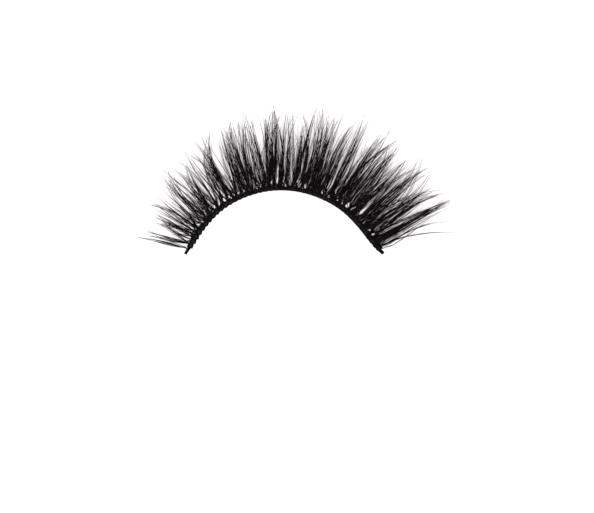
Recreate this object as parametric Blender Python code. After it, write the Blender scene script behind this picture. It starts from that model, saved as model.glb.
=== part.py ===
"""A false eyelash strip: an arched band of knotted cotton with two rows of curled hair.

The strip lies on a table with its glue face down. +X points to the outer corner of the eye, +Y is the way
the hairs at the top of the arch point, and +Z is up. The origin is on the table, in the middle of the
strip's footprint. Everything is placed by a station along the band's inner edge, 0 at the inner corner's
end and 1 at the outer corner's, a distance out from that edge and a height.
"""

import math
from collections import namedtuple

import bmesh
import bpy
from mathutils import Matrix, Vector

MM = 0.001

# The band: wound cotton with a knot for each tuft of hair, flattened and glued.
BAND_LENGTH = 33.0 * MM
BAND_HEIGHT = 0.46 * MM
BAND_CHAMFER = 0.10 * MM
KNOT_COUNT = 46
KNOT_RISE = 0.035 * MM
OUTLINE_STEPS = 3
INNER_TAIL = 0.026
OUTER_TAIL = 0.982
INNER_TAIL_WIDTH = 0.40 * MM
OUTER_TAIL_WIDTH = 0.44 * MM
TAIL_STEP = 0.002

# Each row of hair hangs on its own thin row of knots beside the band, clear of it and of the other row.
ROW_CLEARANCE = 0.10 * MM
ROW_RADIUS = 0.10 * MM
ROW_STEPS = 48

# The strip's shape at stations along it. bend is the way the band's outer edge faces and fan the way the
# hairs point, both in degrees from +Y towards the outer corner. width is the band's own, and reach is that
# of the longest hairs, seen from above and from the band's inner edge.
Strip = namedtuple("Strip", "station bend fan width reach")
STRIP = (
    Strip(0.00, -57.0, -74.0, 0.40 * MM, 7.0 * MM),
    Strip(0.10, -56.5, -56.8, 0.46 * MM, 7.7 * MM),
    Strip(0.20, -43.8, -41.3, 0.44 * MM, 8.4 * MM),
    Strip(0.30, -26.7, -27.2, 0.38 * MM, 9.6 * MM),
    Strip(0.40, -13.6, -13.7, 0.34 * MM, 10.8 * MM),
    Strip(0.50, 1.6, 1.3, 0.32 * MM, 11.6 * MM),
    Strip(0.60, 15.9, 16.4, 0.34 * MM, 11.8 * MM),
    Strip(0.70, 28.7, 29.6, 0.42 * MM, 12.0 * MM),
    Strip(0.80, 45.4, 41.8, 0.52 * MM, 12.1 * MM),
    Strip(0.90, 52.7, 52.5, 0.56 * MM, 12.0 * MM),
    Strip(1.00, 43.0, 62.4, 0.46 * MM, 11.4 * MM),
)

# The curl of a row of hair: its angle above the table where it starts and at its tips, and how late along
# the hair it rises. start is the height of the row of knots, and thickest is where a lock is widest.
Curl = namedtuple("Curl", "start lift tip_lift power steps thickest")
LOWER_CURL = Curl(0.11 * MM, 0.5, 38.0, 1.4, 4, 0.30)
UPPER_CURL = Curl(0.42 * MM, 9.0, 54.0, 1.2, 7, 0.30)

# A lock is flattened, this much as high as it is wide.
FLATNESS = 0.55

# Where along a lock it has turned into its final course: under 1, it turns early.
COURSE_POWER = 0.75

# The long locks, from the inner corner to the outer: the station each starts from, the one that its tip
# lies over, how far it reaches and how wide it is at its thickest.
Lock = namedtuple("Lock", "root tip reach width")
LONG_LOCKS = (
    Lock(0.034, 0.014, 6.3 * MM, 0.49 * MM),
    Lock(0.048, 0.032, 6.5 * MM, 0.49 * MM),
    Lock(0.078, 0.056, 6.5 * MM, 0.36 * MM),
    Lock(0.066, 0.082, 7.3 * MM, 0.56 * MM),
    Lock(0.100, 0.115, 7.7 * MM, 0.76 * MM),
    Lock(0.138, 0.151, 8.4 * MM, 0.66 * MM),
    Lock(0.172, 0.165, 8.6 * MM, 0.73 * MM),
    Lock(0.200, 0.202, 8.2 * MM, 0.56 * MM),
    Lock(0.229, 0.236, 8.7 * MM, 0.76 * MM),
    Lock(0.250, 0.274, 8.8 * MM, 0.82 * MM),
    Lock(0.290, 0.287, 9.6 * MM, 0.76 * MM),
    Lock(0.322, 0.324, 9.1 * MM, 0.59 * MM),
    Lock(0.346, 0.354, 9.8 * MM, 0.82 * MM),
    Lock(0.360, 0.369, 9.9 * MM, 0.46 * MM),
    Lock(0.380, 0.399, 10.7 * MM, 0.73 * MM),
    Lock(0.410, 0.415, 10.8 * MM, 0.69 * MM),
    Lock(0.438, 0.452, 10.5 * MM, 0.92 * MM),
    Lock(0.470, 0.474, 9.7 * MM, 0.56 * MM),
    Lock(0.484, 0.491, 11.3 * MM, 0.89 * MM),
    Lock(0.509, 0.513, 11.4 * MM, 0.69 * MM),
    Lock(0.538, 0.543, 10.4 * MM, 0.56 * MM),
    Lock(0.560, 0.569, 11.8 * MM, 0.92 * MM),
    Lock(0.588, 0.597, 11.6 * MM, 0.56 * MM),
    Lock(0.616, 0.620, 11.5 * MM, 0.96 * MM),
    Lock(0.652, 0.650, 10.9 * MM, 0.66 * MM),
    Lock(0.684, 0.676, 12.2 * MM, 0.82 * MM),
    Lock(0.715, 0.722, 12.1 * MM, 0.92 * MM),
    Lock(0.743, 0.750, 12.1 * MM, 0.82 * MM),
    Lock(0.762, 0.766, 11.5 * MM, 0.50 * MM),
    Lock(0.783, 0.782, 11.3 * MM, 0.66 * MM),
    Lock(0.810, 0.815, 12.1 * MM, 0.89 * MM),
    Lock(0.834, 0.836, 11.8 * MM, 0.66 * MM),
    Lock(0.866, 0.852, 12.3 * MM, 0.89 * MM),
    Lock(0.878, 0.902, 11.8 * MM, 0.92 * MM),
    Lock(0.906, 0.916, 11.7 * MM, 0.63 * MM),
    Lock(0.946, 0.952, 12.5 * MM, 0.89 * MM),
    Lock(0.968, 0.970, 11.5 * MM, 0.66 * MM),
    Lock(0.970, 1.030, 10.5 * MM, 0.30 * MM),
    Lock(0.966, 1.085, 9.0 * MM, 0.23 * MM),
)

# The short locks below them: two from each place, crossing their neighbours' as they fan out.
SHORT_PLACES = 20
SHORT_START = 0.045
SHORT_END = 0.965
SHORT_FAN = 0.034
SHORT_REACH = 0.66
SHORT_WIDTH = 0.46 * MM
SHORT_UNEVEN = 0.05
UNEVEN_TURN = 2.4

ROOT_WIDTH = 0.34 * MM
TIP_WIDTH = 0.05 * MM
WELD_DISTANCE = 0.0005 * MM

COTTON_BLACK = (0.007, 0.006, 0.007)
LOWER_HAIR_BLACK = (0.010, 0.008, 0.010)
UPPER_HAIR_BLACK = (0.012, 0.009, 0.011)
COTTON_ROUGHNESS = 0.38
HAIR_ROUGHNESS = 0.42


def shape_at(station):
    """The strip's sizes at a station, between two rows of its table."""
    for low, high in zip(STRIP, STRIP[1:]):
        if station <= high.station:
            break
    part = min(max((station - low.station) / (high.station - low.station), 0.0), 1.0)
    return Strip(*(a + part * (b - a) for a, b in zip(low, high)))


def beside_band(station, out):
    """A point square out from the band's inner edge, which is a chain of arcs, one for each row of STRIP."""
    x = 0.0
    y = 0.0
    for low, high in zip(STRIP, STRIP[1:]):
        last = station <= high.station or high is STRIP[-1]
        start = math.radians(low.bend)
        turn = math.radians(high.bend - low.bend) / (high.station - low.station)
        end = start + turn * ((station if last else high.station) - low.station)
        radius = BAND_LENGTH / turn
        x += radius * (math.sin(end) - math.sin(start))
        y += radius * (math.cos(end) - math.cos(start))
        if last:
            break
    return Vector((x + out * math.sin(end), y + out * math.cos(end), 0.0))


def row_distance(station):
    """How far out the rows of knots lie."""
    return shape_at(station).width + KNOT_RISE + ROW_CLEARANCE + ROW_RADIUS


def in_fringe(station, out, height):
    """A point out in the hair: square out to the row of knots, and from there the way the hairs fan."""
    row = row_distance(station)
    fan = math.radians(shape_at(station).fan)
    place = beside_band(station, row)
    place += (out - row) * Vector((math.sin(fan), math.cos(fan), 0.0))
    place.z = height
    return place


def band_edges(station):
    """How far out the band's inner and outer edges lie, with the bulge of its knots."""
    width = shape_at(station).width
    knot = abs(math.sin(math.pi * KNOT_COUNT * station))
    if station < INNER_TAIL:
        width, knot = INNER_TAIL_WIDTH, 0.0
    if station > OUTER_TAIL:
        width, knot = OUTER_TAIL_WIDTH, 0.0
    swell = KNOT_RISE * knot
    return -swell, width + swell


def material(name, colour, roughness):
    """A plain finish for one sub-part."""
    made = bpy.data.materials.new(name)
    made.use_nodes = True
    shader = made.node_tree.nodes["Principled BSDF"]
    shader.inputs["Base Color"].default_value = (*colour, 1.0)
    shader.inputs["Roughness"].default_value = roughness
    shader.inputs["Metallic"].default_value = 0.0
    return made


def as_mesh_object(source, name):
    """Turns a curve object into a mesh object, with its loose caps welded on, and removes the curve."""
    bpy.context.view_layer.update()
    evaluated = source.evaluated_get(bpy.context.evaluated_depsgraph_get())
    mesh = bpy.data.meshes.new_from_object(evaluated)
    work = bmesh.new()
    work.from_mesh(mesh)
    bmesh.ops.remove_doubles(work, verts=work.verts, dist=WELD_DISTANCE)
    bmesh.ops.recalc_face_normals(work, faces=work.faces)
    work.to_mesh(mesh)
    work.free()
    made = bpy.data.objects.new(name, mesh)
    made.matrix_world = source.matrix_world
    bpy.data.objects.remove(source)
    return made


def curve_object(name, dimensions, splines, closed):
    """A curve of POLY splines. Each spline is a list of places and radii."""
    curve = bpy.data.curves.new(name, "CURVE")
    curve.dimensions = dimensions
    for points in splines:
        spline = curve.splines.new("POLY")
        spline.points.add(len(points) - 1)
        for made, (place, radius) in zip(spline.points, points):
            made.co = (*place, 1.0)
            made.radius = radius
        spline.use_cyclic_u = closed
    made = bpy.data.objects.new(name, curve)
    bpy.context.scene.collection.objects.link(made)
    return made


def make_band():
    """The band: a flat outline with rounded edges, bulging a little at each knot, with bare square ends."""
    step_length = 1.0 / KNOT_COUNT / OUTLINE_STEPS
    steps = int((OUTER_TAIL - INNER_TAIL) / step_length)
    knotted = [INNER_TAIL + step_length * step for step in range(steps)]
    stations = [0.0, INNER_TAIL / 2, INNER_TAIL - TAIL_STEP, *knotted, OUTER_TAIL + TAIL_STEP, 1.0]
    inner = [beside_band(station, band_edges(station)[0]) for station in stations]
    outer = [beside_band(station, band_edges(station)[1]) for station in stations]
    outline = [(place, 1.0) for place in inner + outer[::-1]]
    band = curve_object("band_outline", "2D", [outline], True)
    band.data.fill_mode = "BOTH"
    band.data.extrude = BAND_HEIGHT / 2 - BAND_CHAMFER
    band.data.bevel_depth = BAND_CHAMFER
    band.data.bevel_resolution = 0
    band.data.offset = -BAND_CHAMFER
    band.location.z = BAND_HEIGHT / 2
    return as_mesh_object(band, "band")


def tubes(name, splines, flatness):
    """Tapering tubes whose radii are the points' own, made tall and then flattened."""
    tall = Matrix.Diagonal((1.0, 1.0, 1.0 / flatness))
    tall_splines = [[(tall @ place, radius) for place, radius in points] for points in splines]
    made = curve_object(name + "_paths", "3D", tall_splines, False)
    made.data.bevel_depth = 1.0
    made.data.bevel_resolution = 1
    made.data.use_fill_caps = True
    solid = as_mesh_object(made, name)
    solid.data.transform(tall.inverted().to_4x4())
    return solid


def knot_row(name, curl):
    """The thin row of knots that a row of hair hangs on, along the band's outer edge."""
    points = []
    for step in range(ROW_STEPS + 1):
        station = INNER_TAIL + (OUTER_TAIL - INNER_TAIL) * step / ROW_STEPS
        points.append((in_fringe(station, row_distance(station), curl.start), ROW_RADIUS))
    return tubes(name, [points], 1.0)


def lock_points(lock, curl):
    """A lock's course: it turns towards the station under its tip while its angle above the table grows."""
    lifts = [
        math.radians(curl.lift + (curl.tip_lift - curl.lift) * ((step + 0.5) / curl.steps) ** curl.power)
        for step in range(curl.steps)
    ]
    start = row_distance(lock.root)
    step_length = (lock.reach - start) / sum(math.cos(lift) for lift in lifts)
    out = start
    height = curl.start
    points = [(in_fringe(lock.root, out, height), ROOT_WIDTH / 2)]
    for step, lift in enumerate(lifts, 1):
        out += step_length * math.cos(lift)
        height += step_length * math.sin(lift)
        along = step / curl.steps
        station = lock.root + (lock.tip - lock.root) * along**COURSE_POWER
        if along < curl.thickest:
            width = ROOT_WIDTH + (lock.width - ROOT_WIDTH) * along / curl.thickest
        else:
            width = lock.width + (TIP_WIDTH - lock.width) * (along - curl.thickest) / (1.0 - curl.thickest)
        points.append((in_fringe(station, out, height), width / 2))
    return points


def short_locks():
    """The short locks' sizes: pairs that lean apart, each pair's reach a little unlike its neighbours'."""
    locks = []
    for place in range(SHORT_PLACES):
        root = SHORT_START + (SHORT_END - SHORT_START) * place / (SHORT_PLACES - 1)
        reach = shape_at(root).reach
        for side in (-1, 1):
            unlike = 1.0 + SHORT_UNEVEN * math.sin(UNEVEN_TURN * place + side)
            locks.append(Lock(root, root + side * SHORT_FAN, SHORT_REACH * reach * unlike, SHORT_WIDTH))
    return locks


def join_locks(name, locks, curl):
    """Fuses a row's locks to its row of knots."""
    row = knot_row(name, curl)
    collection.objects.link(row)
    tool = tubes(name + "_locks", [lock_points(lock, curl) for lock in locks], FLATNESS)
    cutters.objects.link(tool)
    tool.hide_render = True
    tool.display_type = "WIRE"
    union = row.modifiers.new("locks", "BOOLEAN")
    union.operation = "UNION"
    union.solver = "EXACT"
    union.use_self = True
    union.object = tool
    return row


def finish(made, colour, roughness):
    """Gives a sub-part its material and shading."""
    made.data.materials.clear()
    made.data.materials.append(material(made.name + "_finish", colour, roughness))
    made.data.shade_smooth()


def place_on_table(parts):
    """Hangs the parts, and what is joined to them, on an empty that centres their footprint on the origin."""
    bpy.context.view_layer.update()
    depsgraph = bpy.context.evaluated_depsgraph_get()
    corners = []
    for made in parts:
        evaluated = made.evaluated_get(depsgraph)
        corners += [evaluated.matrix_world @ Vector(corner) for corner in evaluated.bound_box]
    centre = bpy.data.objects.new("strip_centre", None)
    centre.empty_display_size = BAND_HEIGHT
    collection.objects.link(centre)
    for axis in (0, 1):
        places = [corner[axis] for corner in corners]
        centre.location[axis] = -(min(places) + max(places)) / 2
    for made in [*parts, *cutters.objects]:
        made.parent = centre


for old in list(bpy.data.objects):
    bpy.data.objects.remove(old)

collection = bpy.data.collections.new("false_eyelash_strip")
cutters = bpy.data.collections.new("cutters")
bpy.context.scene.collection.children.link(collection)
bpy.context.scene.collection.children.link(cutters)

band = make_band()
collection.objects.link(band)
finish(band, COTTON_BLACK, COTTON_ROUGHNESS)

lower_lashes = join_locks("lower_lashes", short_locks(), LOWER_CURL)
finish(lower_lashes, LOWER_HAIR_BLACK, HAIR_ROUGHNESS)

upper_lashes = join_locks("upper_lashes", LONG_LOCKS, UPPER_CURL)
finish(upper_lashes, UPPER_HAIR_BLACK, HAIR_ROUGHNESS)

place_on_table([band, lower_lashes, upper_lashes])
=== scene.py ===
# %% [markdown]
# # A false eyelash strip
#
# This lesson dresses a false eyelash strip that was first made as a few plain solids: a band, a short row
# of locks and a long row of locks. The real strip is a cotton band about half a millimetre wide, on which
# some thousands of tapered fibres are knotted by hand, combed into pointed locks and set in a curl.
#
# The solids could get a fine material, but a lock is not a solid: light falls between its fibres, and its
# tip is a few hairs and not a cone. So each row is grown here again, hair by hair, along the same lines
# that the solids were made from, and takes the place of its solid.

# %% Load the frame
import math
from collections import namedtuple

import bmesh
import bpy
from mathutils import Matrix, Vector, noise


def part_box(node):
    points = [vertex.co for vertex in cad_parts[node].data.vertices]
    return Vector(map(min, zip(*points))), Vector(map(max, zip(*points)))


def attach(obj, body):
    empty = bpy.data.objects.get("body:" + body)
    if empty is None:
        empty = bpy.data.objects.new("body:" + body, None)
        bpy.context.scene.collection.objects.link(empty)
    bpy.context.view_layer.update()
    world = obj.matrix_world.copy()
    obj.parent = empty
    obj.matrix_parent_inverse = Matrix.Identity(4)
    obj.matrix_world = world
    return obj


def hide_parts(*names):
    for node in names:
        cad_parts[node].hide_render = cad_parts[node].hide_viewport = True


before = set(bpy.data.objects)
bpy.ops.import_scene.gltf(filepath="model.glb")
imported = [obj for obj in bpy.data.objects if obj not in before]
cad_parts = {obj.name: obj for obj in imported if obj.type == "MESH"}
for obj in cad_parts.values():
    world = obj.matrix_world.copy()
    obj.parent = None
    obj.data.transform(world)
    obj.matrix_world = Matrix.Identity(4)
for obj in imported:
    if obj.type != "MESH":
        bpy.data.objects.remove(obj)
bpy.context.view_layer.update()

MM = 0.001

print("nodes of the frame:", sorted(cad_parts))

# %% [markdown]
# ## The camera
#
# The strip lies on a white table and is seen from straight above. A camera without any turn looks down
# the Z axis with +Y at the top of its picture, which is what is needed. It could stand close with a wide
# lens, but then the tips, which rise 7 mm, would lean outwards. A long lens from half a metre away keeps
# them in place. The lens follows from how wide a piece of table fills the picture.

# %% Camera
CAMERA_HEIGHT = 0.55
VIEW_WIDTH = 79.9 * MM
VIEW_MIDDLE = (-0.444 * MM, -10.255 * MM)
SENSOR = 36.0

camera_data = bpy.data.cameras.new("overhead")
camera_data.sensor_width = SENSOR
camera_data.lens = SENSOR * CAMERA_HEIGHT / VIEW_WIDTH
camera_data.clip_start = 0.01
camera = bpy.data.objects.new("overhead", camera_data)
camera.location = (*VIEW_MIDDLE, CAMERA_HEIGHT)
bpy.context.scene.collection.objects.link(camera)
bpy.context.scene.camera = camera
print("lens in mm:", round(camera_data.lens))

# %% [markdown]
# ## The table and the light
#
# The background is pure white and the shadows are hardly there, also in the small gaps between the hairs.
# A dim white sky alone would leave those gaps grey, because little of it is seen from the bottom of a gap.
# So a round lamp hangs straight above, behind the camera, and four large soft lamps stand low around the
# strip. The Standard view transform is chosen, because the default one turns a white table grey.

# %% Table, lamps and sky
TABLE_SIZE = 6.0
TABLE_DROP = 0.02 * MM
SKY_STRENGTH = 0.17

# name, side and lift in degrees, distance, size and watts
LAMPS = (
    ("top_lamp", 0.0, 90.0, 0.9, 0.36, 7.0),
    ("low_lamp_1", 35.0, 38.0, 0.7, 0.5, 1.15),
    ("low_lamp_2", 125.0, 38.0, 0.7, 0.5, 1.15),
    ("low_lamp_3", 215.0, 38.0, 0.7, 0.5, 1.15),
    ("low_lamp_4", 305.0, 38.0, 0.7, 0.5, 1.15),
)

bpy.context.scene.view_settings.view_transform = "Standard"

bpy.ops.mesh.primitive_plane_add(size=TABLE_SIZE, location=(0.0, 0.0, -TABLE_DROP))
table = bpy.context.object
table.name = "table"

for name, side, lift, distance, size, watts in LAMPS:
    turn = math.radians(side)
    rise = math.radians(lift)
    lamp_data = bpy.data.lights.new(name, "AREA")
    lamp_data.shape = "DISK"
    lamp_data.size = size
    lamp_data.energy = watts
    lamp = bpy.data.objects.new(name, lamp_data)
    away = Vector((math.cos(turn) * math.cos(rise), math.sin(turn) * math.cos(rise), math.sin(rise)))
    lamp.location = away * distance
    lamp.rotation_euler = away.to_track_quat("Z", "Y").to_euler()
    bpy.context.scene.collection.objects.link(lamp)

sky = bpy.data.worlds.new("sky")
sky.use_nodes = True
sky.node_tree.nodes["Background"].inputs["Color"].default_value = (1.0, 1.0, 1.0, 1.0)
sky.node_tree.nodes["Background"].inputs["Strength"].default_value = SKY_STRENGTH
bpy.context.scene.world = sky
print("lamps:", len(bpy.data.lights))

# %% [markdown]
# ## Writing nodes as sums
#
# Both the materials and the hair are made of nodes, and a tree of nodes is hard to read as a list of
# links. The class below wraps one output of a node. Adding or multiplying two of them adds the Math node
# that does it, or the Vector Math node where one of them is a vector. `1 - mask` works too, because
# Python asks the right-hand side when a plain number doesn't know how to subtract it. Every other kind of
# node comes from one method, `Graph.node`, which sets the settings before it fills the sockets, because
# some settings change which sockets a node has.

# %% Graph and Field
class Field:
    """One output of a node, which can be used in sums."""

    def __init__(self, graph, socket):
        self.graph = graph
        self.socket = socket

    def sum(self, operation, *operands):
        """A Math node, or a Vector Math node where one of the operands is a vector."""
        vectors = [one for one in operands if isinstance(one, tuple)]
        vectors += [one for one in operands if isinstance(one, Field) and one.socket.type == "VECTOR"]
        kind = "ShaderNodeVectorMath" if vectors else "ShaderNodeMath"
        return self.graph.node(kind, {"operation": operation}, dict(enumerate(operands)))

    def __add__(self, other):
        return self.sum("ADD", self, other)

    def __radd__(self, other):
        return self.sum("ADD", other, self)

    def __sub__(self, other):
        return self.sum("SUBTRACT", self, other)

    def __rsub__(self, other):
        return self.sum("SUBTRACT", other, self)

    def __mul__(self, other):
        return self.sum("MULTIPLY", self, other)

    def __rmul__(self, other):
        return self.sum("MULTIPLY", other, self)

    def __truediv__(self, other):
        return self.sum("DIVIDE", self, other)

    def __rtruediv__(self, other):
        return self.sum("DIVIDE", other, self)

    def __pow__(self, other):
        return self.sum("POWER", self, other)

    def rounded(self):
        return self.sum("ROUND", self)

    def sign(self):
        return self.sum("SIGN", self)

    def sine(self):
        return self.sum("SINE", self)

    def cosine(self):
        return self.sum("COSINE", self)

    def at_least(self, other):
        return self.sum("MAXIMUM", self, other)

    def at_most(self, other):
        return self.sum("MINIMUM", self, other)

    def smooth(self, low, high):
        """0 up to low, 1 from high, and a soft step between them."""
        return self.graph.node(
            "ShaderNodeMapRange",
            {"interpolation_type": "SMOOTHSTEP"},
            {"Value": self, "From Min": low, "From Max": high},
        )

    def parts(self):
        """The X, Y and Z of a vector."""
        node = self.graph.node("ShaderNodeSeparateXYZ", {}, {0: self}).socket.node
        return [Field(self.graph, output) for output in node.outputs]


class Graph:
    """A node tree that is written from Python."""

    def __init__(self, tree):
        self.tree = tree

    def node(self, kind, settings, inputs, output=0):
        """Adds a node, sets it, fills its sockets with values or links, and returns one of its outputs."""
        made = self.tree.nodes.new(kind)
        for name, value in settings.items():
            setattr(made, name, value)
        sockets = [socket for socket in made.inputs if socket.enabled]
        for name, value in inputs.items():
            named = [socket for socket in sockets if socket.name == name]
            socket = sockets[name] if isinstance(name, int) else named[0]
            if isinstance(value, Field):
                self.tree.links.new(value.socket, socket)
            else:
                socket.default_value = value
        outputs = [socket for socket in made.outputs if socket.enabled]
        named = [socket for socket in outputs if socket.name == output]
        return Field(self, outputs[output] if isinstance(output, int) else named[0])

    def vector(self, x, y, z):
        return self.node("ShaderNodeCombineXYZ", {}, {0: x, 1: y, 2: z})


# %% [markdown]
# ## The hair's finish
#
# The fibres are dyed synthetic hair: almost black, with a trace of brown and violet, and a soft gloss. No
# two have taken the dye quite alike, and a fibre that thins towards its tip lets a little more light
# through. A noise over the whole strip could vary the colour, but then one fibre would change colour along
# its length for no reason. So the finish reads two values that the hair itself carries: `hair`, one random
# number per fibre, and `tip`, which runs from 0 at the root to 1 at the tip.

# %% Hair finish
ROOT_BLACK = (0.0020, 0.0016, 0.0021, 1.0)
TIP_BLACK = (0.0100, 0.0064, 0.0088, 1.0)
BROWN_HAIR = (0.0140, 0.0080, 0.0092, 1.0)
HAIR_SPECULAR = 0.05
BROWN_FROM = 0.55
GLOSS_SPREAD = 0.08
GLOSS_SHUFFLE = 37.0
TIP_DULLNESS = 0.08


def mix_colours(graph, factor, first, second):
    """The first colour where the factor is 0, and the second where it is 1."""
    settings = {"data_type": "RGBA", "clamp_factor": True}
    return graph.node("ShaderNodeMix", settings, {"Factor": factor, "A": first, "B": second}, "Result")


def hair_finish(name, brown_share, roughness):
    """A dark fibre. brown_share is how far the lightest fibres go towards brown."""
    material = bpy.data.materials.new(name)
    material.use_nodes = True
    graph = Graph(material.node_tree)
    shader = material.node_tree.nodes["Principled BSDF"]
    shader.inputs["Specular IOR Level"].default_value = HAIR_SPECULAR
    one_hair = graph.node("ShaderNodeAttribute", {"attribute_name": "hair"}, {}, "Fac")
    tip = graph.node("ShaderNodeAttribute", {"attribute_name": "tip"}, {}, "Fac")
    dyed = mix_colours(graph, tip.smooth(0.2, 1.0), ROOT_BLACK, TIP_BLACK)
    colour = mix_colours(graph, one_hair.smooth(BROWN_FROM, 1.0) * brown_share, dyed, BROWN_HAIR)
    material.node_tree.links.new(colour.socket, shader.inputs["Base Color"])
    gloss = roughness + GLOSS_SPREAD * (one_hair * GLOSS_SHUFFLE).sine() + TIP_DULLNESS * tip
    material.node_tree.links.new(gloss.socket, shader.inputs["Roughness"])
    return material


long_hair_finish = hair_finish("long_hair_finish", 0.8, 0.44)
short_hair_finish = hair_finish("short_hair_finish", 0.5, 0.50)
print("hair finishes:", long_hair_finish.name, short_hair_finish.name)

# %% [markdown]
# ## The band's finish
#
# The band is dyed cotton thread, soaked in a clear flexible glue. The glue leaves some places wet-looking
# and lets the cotton's fuzz show dull in others. A clear coat with a patchy weight gives both. The fuzz
# itself is far smaller than the mesh, so it is a bump made of fine noise. The noise is laid on Object
# coordinates, which are metres here, so its scale is real.

# %% Cotton finish
COTTON_BLACK = (0.0014, 0.0011, 0.0014, 1.0)
COTTON_WORN = (0.0045, 0.0037, 0.0043, 1.0)
COTTON_SPECULAR = 0.03
COTTON_ROUGHNESS = 0.62
FUZZ_DULLER = 0.12
GLUE_SMOOTHER = 0.22
GLUE_ROUGHNESS = 0.16
GLUE_COAT = 0.05
GLUE_EDGE = (0.62, 0.80)
GLUE_SPREAD = 0.4
PATCH_SCALE = 1400.0
FUZZ_SCALE = 9000.0
FUZZ_DEPTH = 0.02 * MM
FUZZ_STRENGTH = 0.6
PATCH_RELIEF = 0.8


def cotton_finish(name, glue_share):
    """Dyed cotton under patches of glue."""
    material = bpy.data.materials.new(name)
    material.use_nodes = True
    graph = Graph(material.node_tree)
    links = material.node_tree.links
    shader = material.node_tree.nodes["Principled BSDF"]
    shader.inputs["Specular IOR Level"].default_value = COTTON_SPECULAR
    shader.inputs["Coat Roughness"].default_value = GLUE_ROUGHNESS
    place = graph.node("ShaderNodeTexCoord", {}, {}, "Object")
    patch_sizes = {"Vector": place, "Scale": PATCH_SCALE, "Detail": 3.0}
    patches = graph.node("ShaderNodeTexNoise", {}, patch_sizes, "Fac")
    fuzz_sizes = {"Vector": place, "Scale": FUZZ_SCALE, "Detail": 4.0}
    fuzz = graph.node("ShaderNodeTexNoise", {}, fuzz_sizes, "Fac")
    glue = patches.smooth(*(edge - GLUE_SPREAD * glue_share for edge in GLUE_EDGE))
    colour = mix_colours(graph, fuzz.smooth(0.45, 0.75) * (1 - glue), COTTON_BLACK, COTTON_WORN)
    links.new(colour.socket, shader.inputs["Base Color"])
    dullness = COTTON_ROUGHNESS - GLUE_SMOOTHER * glue + FUZZ_DULLER * fuzz
    links.new(dullness.socket, shader.inputs["Roughness"])
    links.new((glue * GLUE_COAT).socket, shader.inputs["Coat Weight"])
    relief = fuzz + PATCH_RELIEF * patches
    bump_inputs = {"Strength": FUZZ_STRENGTH, "Distance": FUZZ_DEPTH, "Height": relief}
    bump = graph.node("ShaderNodeBump", {}, bump_inputs, "Normal")
    links.new(bump.socket, shader.inputs["Normal"])
    return material


band_finish = cotton_finish("glued_band_finish", 0.7)
thread_finish = cotton_finish("thread_finish", 0.35)
print("cotton finishes:", band_finish.name, thread_finish.name)

# %% [markdown]
# The table is white and dull. Its slight pink-violet tint is painted light. Where the table is lit it is
# clipped to white, and in the shade of the fibres the tint stands in for the violet light that comes through
# them. A grain too faint to be seen keeps it from being one flat number.

# %% Table finish
# both colours carry a painted tint of violet light, which shows only in the fibres' shade; the grain tells
# them apart
TABLE_DARK_PAINTED_TINT = (0.92, 0.885, 0.895, 1.0)
TABLE_LIGHT_PAINTED_TINT = (0.94, 0.905, 0.915, 1.0)
TABLE_GRAIN = 300.0
TABLE_SPECULAR = 0.1
TABLE_ROUGHNESS = 0.9

table_finish = bpy.data.materials.new("table_finish")
table_finish.use_nodes = True
table_graph = Graph(table_finish.node_tree)
table_shader = table_finish.node_tree.nodes["Principled BSDF"]
table_shader.inputs["Specular IOR Level"].default_value = TABLE_SPECULAR
table_shader.inputs["Roughness"].default_value = TABLE_ROUGHNESS
table_place = table_graph.node("ShaderNodeTexCoord", {}, {}, "Object")
grain = table_graph.node("ShaderNodeTexNoise", {}, {"Vector": table_place, "Scale": TABLE_GRAIN}, "Fac")
# the grain mixes the two colours, and with them the painted violet tint of the shade
table_colour_painted_tint = mix_colours(table_graph, grain, TABLE_DARK_PAINTED_TINT, TABLE_LIGHT_PAINTED_TINT)
table_finish.node_tree.links.new(table_colour_painted_tint.socket, table_shader.inputs["Base Color"])
table.data.materials.append(table_finish)
print("table finish:", table_finish.name)

# %% [markdown]
# ## The ruler
#
# Everything on the strip follows the band, which bends round the eye. It would be hard to place a hair in
# world coordinates, and easy on a straight strip. So the strip is worked out straight, as if it were
# unrolled: X is the way along the band's inner edge, Y the way out from it and Z the height. At the end
# each place is bent round the real band.
#
# The ruler below is what bends it. It is a line of points on the band's inner edge. Each point carries
# two arrows: `row`, square out to where the rows of hair begin, and `fan`, the way the hairs point from
# there. The table holds the strip's shape at eleven stations: which way the band faces and the hairs
# point, in degrees from +Y, how wide the band is and how far the longest hairs reach, in millimetres.

# %% The strip's shape
BAND_LENGTH = 33.0 * MM
KNOTS = 46
KNOT_PITCH = BAND_LENGTH / KNOTS
INNER_TAIL = 0.026
OUTER_TAIL = 0.982
ROW_GAP = 0.235 * MM

Shape = namedtuple("Shape", "station bend fan width reach")
SHAPES = (
    Shape(0.00, -57.0, -74.0, 0.40, 7.0),
    Shape(0.10, -56.5, -56.8, 0.46, 7.7),
    Shape(0.20, -43.8, -41.3, 0.44, 8.4),
    Shape(0.30, -26.7, -27.2, 0.38, 9.6),
    Shape(0.40, -13.6, -13.7, 0.34, 10.8),
    Shape(0.50, 1.6, 1.3, 0.32, 11.6),
    Shape(0.60, 15.9, 16.4, 0.34, 11.8),
    Shape(0.70, 28.7, 29.6, 0.42, 12.0),
    Shape(0.80, 45.4, 41.8, 0.52, 12.1),
    Shape(0.90, 52.7, 52.5, 0.56, 12.0),
    Shape(1.00, 43.0, 62.4, 0.46, 11.4),
)


def shape_at(station):
    """The strip's shape between two rows of the table."""
    for low, high in zip(SHAPES, SHAPES[1:]):
        if station <= high.station:
            break
    part = min(max((station - low.station) / (high.station - low.station), 0.0), 1.0)
    return Shape(*(a + part * (b - a) for a, b in zip(low, high)))


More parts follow.
